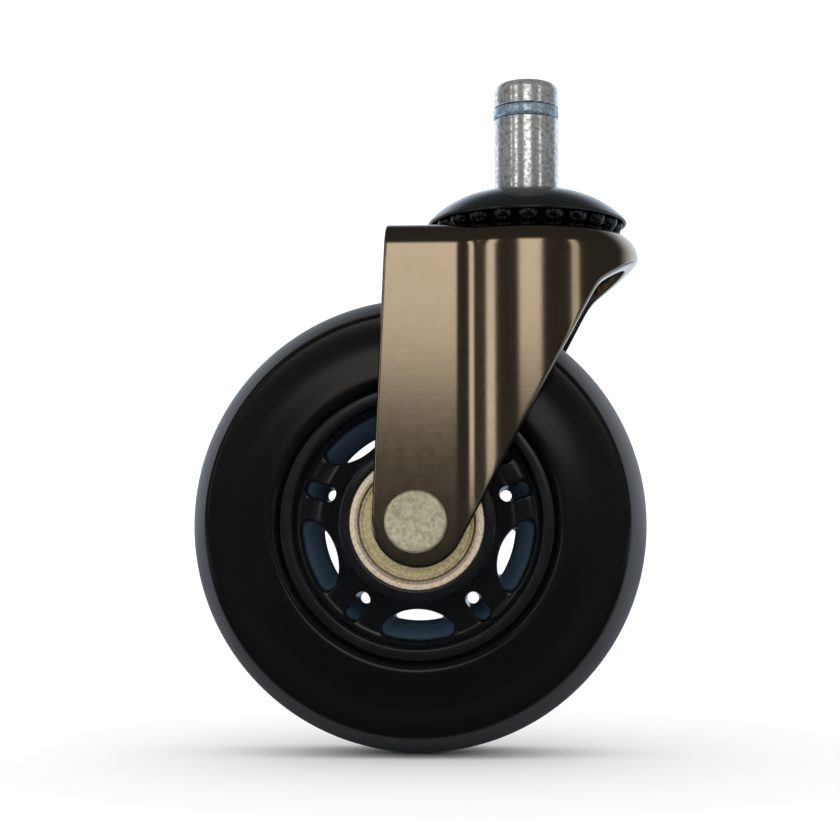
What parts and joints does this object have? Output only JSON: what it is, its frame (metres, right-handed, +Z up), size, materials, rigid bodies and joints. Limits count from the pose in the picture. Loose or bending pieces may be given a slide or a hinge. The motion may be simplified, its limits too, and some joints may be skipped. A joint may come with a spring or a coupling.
{
  "type": "swivel caster",
  "caption": "Swivel caster for an office chair: grip-ring stem, pressed steel fork with a double ball race, and a wide soft-tread wheel on sealed ball bearings.",
  "frame": {"origin": "on the stem's axis, in the plane of the seat where the chair leg's socket comes to rest", "axes": "+Z up along the stem, +X to the fork's front with the wheel trailing towards -X, Y along the wheel's axle"},
  "size_m": [0.0762, 0.0376, 0.1135],
  "materials": {
    "stem_zinc": "bright zinc plate with a blue tint",
    "ring_steel": "blue zinc plated spring steel",
    "cap_black": "gloss black plated",
    "fork_plate": "dark bronze plate, satin gloss",
    "race_steel": "dark hardened steel",
    "bright_ball": "polished",
    "rivet_zinc": "yellow zinc, mottled",
    "washer_zinc": "bright zinc",
    "outer_race": "ground steel with a warm tone",
    "inner_race": "ground steel",
    "cage_brass": "pressed",
    "shield_zinc": "yellow zinc plate",
    "hub_plastic": "gloss moulded",
    "tyre_pu": "glossy black polyurethane"
  },
  "bodies": {
    "stem": {"stem": "stem_zinc", "grip_ring": "ring_steel", "swivel_cap": "cap_black", "lower_race": "race_steel"},
    "fork": {"fork": "fork_plate", "axle_rivet": "rivet_zinc", "near_axle_washer": "washer_zinc", "far_axle_washer": "washer_zinc", "bearing_spacer": "washer_zinc", "near_inner_ring": "inner_race", "far_inner_ring": "inner_race"},
    "wheel": {"tyre": "tyre_pu", "hub": "hub_plastic", "near_outer_ring": "outer_race", "far_outer_ring": "outer_race", "near_outer_shield": "shield_zinc", "near_inner_shield": "shield_zinc", "far_outer_shield": "shield_zinc", "far_inner_shield": "shield_zinc"},
    "upper_swivel_balls": {"upper_swivel_balls": "bright_ball"},
    "lower_swivel_balls": {"lower_swivel_balls": "bright_ball"},
    "near_bearing_balls": {"near_bearing_balls": "bright_ball", "near_ball_cage": "cage_brass"},
    "far_bearing_balls": {"far_bearing_balls": "bright_ball", "far_ball_cage": "cage_brass"}
  },
  "joints": [
    {"name": "swivel", "type": "hinge", "parent": "stem", "child": "fork", "pos_m": [0, 0, 0], "axis": [0, 0, 1], "continuous": true},
    {"name": "wheel_spin", "type": "hinge", "parent": "fork", "child": "wheel", "pos_m": [-0.0183, 0, -0.0564], "axis": [0, 1, 0], "continuous": true},
    {"name": "upper_balls_roll", "type": "hinge", "parent": "stem", "child": "upper_swivel_balls", "pos_m": [0, 0, 0], "axis": [0, 0, 1], "continuous": true},
    {"name": "lower_balls_roll", "type": "hinge", "parent": "stem", "child": "lower_swivel_balls", "pos_m": [0, 0, 0], "axis": [0, 0, 1], "continuous": true},
    {"name": "near_cage_spin", "type": "hinge", "parent": "fork", "child": "near_bearing_balls", "pos_m": [-0.0183, 0, -0.0564], "axis": [0, 1, 0], "continuous": true},
    {"name": "far_cage_spin", "type": "hinge", "parent": "fork", "child": "far_bearing_balls", "pos_m": [-0.0183, 0, -0.0564], "axis": [0, 1, 0], "continuous": true}
  ],
  "couplings": [
    {"joint": "upper_balls_roll", "follows": "swivel", "ratio": 0.5},
    {"joint": "lower_balls_roll", "follows": "swivel", "ratio": 0.5},
    {"joint": "near_cage_spin", "follows": "wheel_spin", "ratio": 0.632},
    {"joint": "far_cage_spin", "follows": "wheel_spin", "ratio": 0.632}
  ]
}
